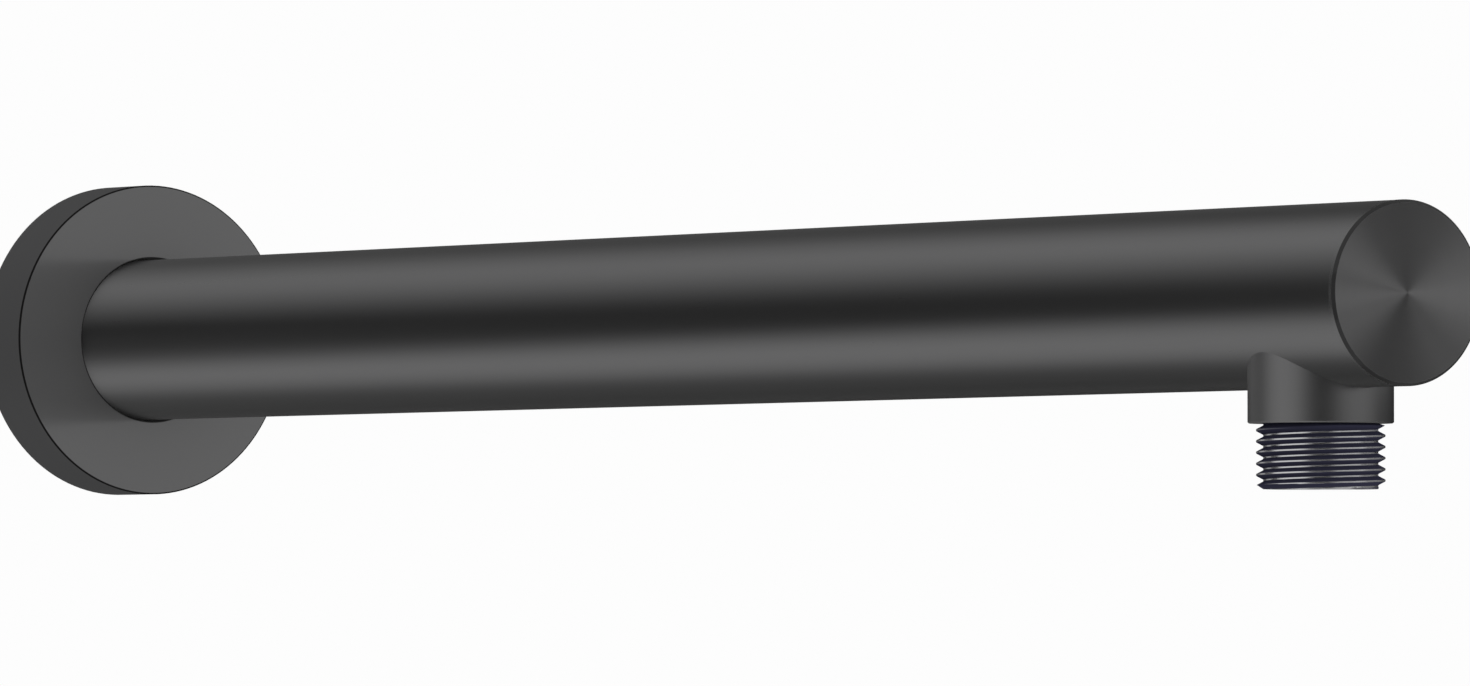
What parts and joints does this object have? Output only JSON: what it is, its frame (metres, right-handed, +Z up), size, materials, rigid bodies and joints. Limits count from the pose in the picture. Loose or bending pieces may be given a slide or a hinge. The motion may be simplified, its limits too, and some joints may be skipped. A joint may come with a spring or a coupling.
{
  "type": "shower arm",
  "caption": "Straight round wall-mounted shower arm in dark brushed metal, with a sliding round wall flange, a capped free end and a downward threaded outlet for a shower head.",
  "frame": {"origin": "centre of the inlet thread in the plane of the finished wall, where the thread meets its collar", "axes": "+X out of the wall along the arm, +Z up, and the outlet points down along -Z"},
  "size_m": [0.418, 0.058, 0.0603],
  "materials": {
    "brushed_gunmetal": "brass with a dark grey coating, finely brushed to a satin sheen",
    "thread_blue_black": "brass with the same coating left unbrushed, glossy blue-black, brighter on the thread's crests",
    "plain_brass": "bare machined brass, hidden in the wall",
    "seal_rubber": "matt black rubber"
  },
  "bodies": {
    "arm": {"arm_tube": "brushed_gunmetal", "end_cap": "brushed_gunmetal", "outlet_stub": "brushed_gunmetal", "outlet_nipple": "thread_blue_black", "inlet_connector": "plain_brass"},
    "flange": {"wall_flange": "brushed_gunmetal", "flange_o_ring": "seal_rubber"}
  },
  "joints": [
    {"name": "flange_slide", "type": "slide", "parent": "arm", "child": "flange", "axis": [1, 0, 0], "range_m": [0, 0.35]}
  ]
}
